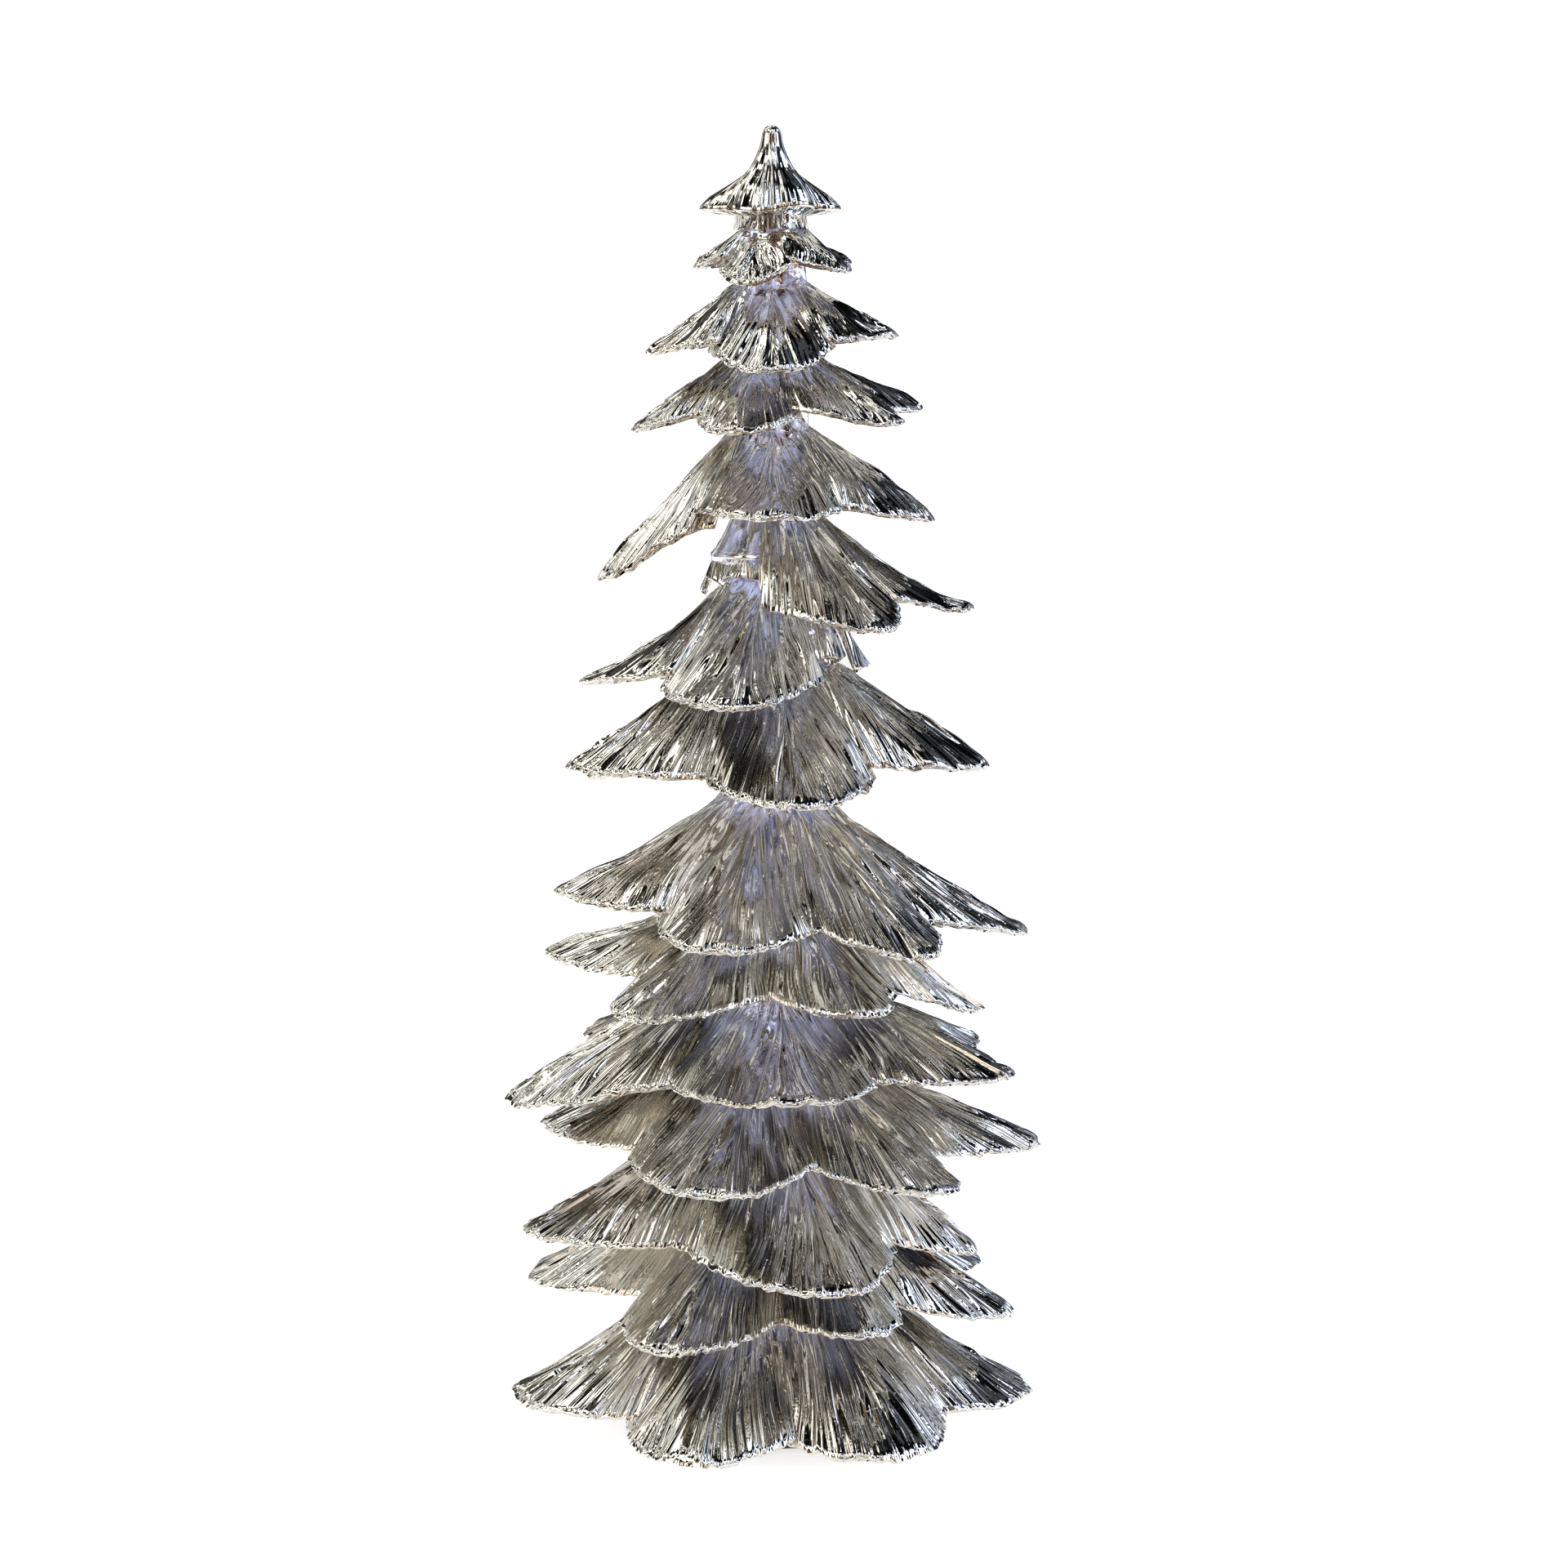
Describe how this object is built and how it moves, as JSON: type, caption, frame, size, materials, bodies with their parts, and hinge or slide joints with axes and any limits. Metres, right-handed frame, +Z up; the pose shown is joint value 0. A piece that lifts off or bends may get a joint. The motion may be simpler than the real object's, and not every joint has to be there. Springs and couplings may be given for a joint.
{
  "type": "light-up tabletop fir tree",
  "caption": "Silver-plated tabletop fir tree with tiers of grooved needle fans on a clear lit stem, and a round battery case with a hinged door hidden in its foot.",
  "frame": {"origin": "on the tabletop under the middle of the stem, at the undersides of the feet", "axes": "+Z up the stem to the tip, -Y to the front, +X to the right as seen from the front"},
  "size_m": [0.1274, 0.1153, 0.31],
  "materials": {
    "silver_plating": "moulded acrylic, vacuum-metallised to a mirror-bright silver",
    "clear_acrylic": "clear tube, lit from inside",
    "white_plastic": "white moulded plastic and white board mask",
    "led_package": "cool white LED, lit",
    "black_plastic": "fine texture moulded ABS",
    "rubber": "soft pads",
    "nickel": "nickel-plated steel",
    "cell_sleeve": "plain printed cell sleeve without lettering",
    "circuit_board": "green solder mask",
    "red_insulation": "wire insulation",
    "black_insulation": "wire insulation"
  },
  "bodies": {
    "tree": {"cap": "silver_plating", "skirt_02": "silver_plating", "skirt_03": "silver_plating", "skirt_04": "silver_plating", "skirt_05": "silver_plating", "skirt_06": "silver_plating", "skirt_07": "silver_plating", "skirt_08": "silver_plating", "skirt_09": "silver_plating", "skirt_10": "silver_plating", "skirt_11": "silver_plating", "skirt_12": "silver_plating", "skirt_13": "silver_plating", "skirt_14": "silver_plating", "skirt_15": "silver_plating", "clear_stem": "clear_acrylic", "board_holder": "white_plastic", "led_board": "white_plastic", "led_1": "led_package", "led_2": "led_package", "led_3": "led_package", "led_4": "led_package", "led_5": "led_package", "led_6": "led_package", "led_7": "led_package", "led_8": "led_package", "led_9": "led_package", "case_body": "black_plastic", "base_plate": "black_plastic", "foot_1": "rubber", "foot_2": "rubber", "foot_3": "rubber", "foot_4": "rubber", "case_screw_1": "nickel", "case_screw_2": "nickel", "case_screw_3": "nickel", "case_screw_4": "nickel", "cell_1": "cell_sleeve", "cell_2": "cell_sleeve", "cell_3": "cell_sleeve", "cell_spring_1": "nickel", "cell_spring_2": "nickel", "cell_spring_3": "nickel", "link_plate_left": "nickel", "link_plate_right": "nickel", "terminal_plate_minus": "nickel", "terminal_plate_plus": "nickel", "control_board": "circuit_board", "switch_body": "black_plastic", "led_lead_red": "red_insulation", "led_lead_black": "black_insulation", "cell_lead_red": "red_insulation", "cell_lead_black": "black_insulation"},
    "door": {"battery_door": "black_plastic"},
    "switch": {"switch_knob": "white_plastic"}
  },
  "joints": [
    {"name": "door_hinge", "type": "hinge", "parent": "tree", "child": "door", "pos_m": [-0.0246, 0, 0.0026], "axis": [0, 1, 0], "range_deg": [0, 100]},
    {"name": "switch_slide", "type": "slide", "parent": "tree", "child": "switch", "axis": [1, 0, 0], "range_m": [-0.0024, 0]}
  ]
}
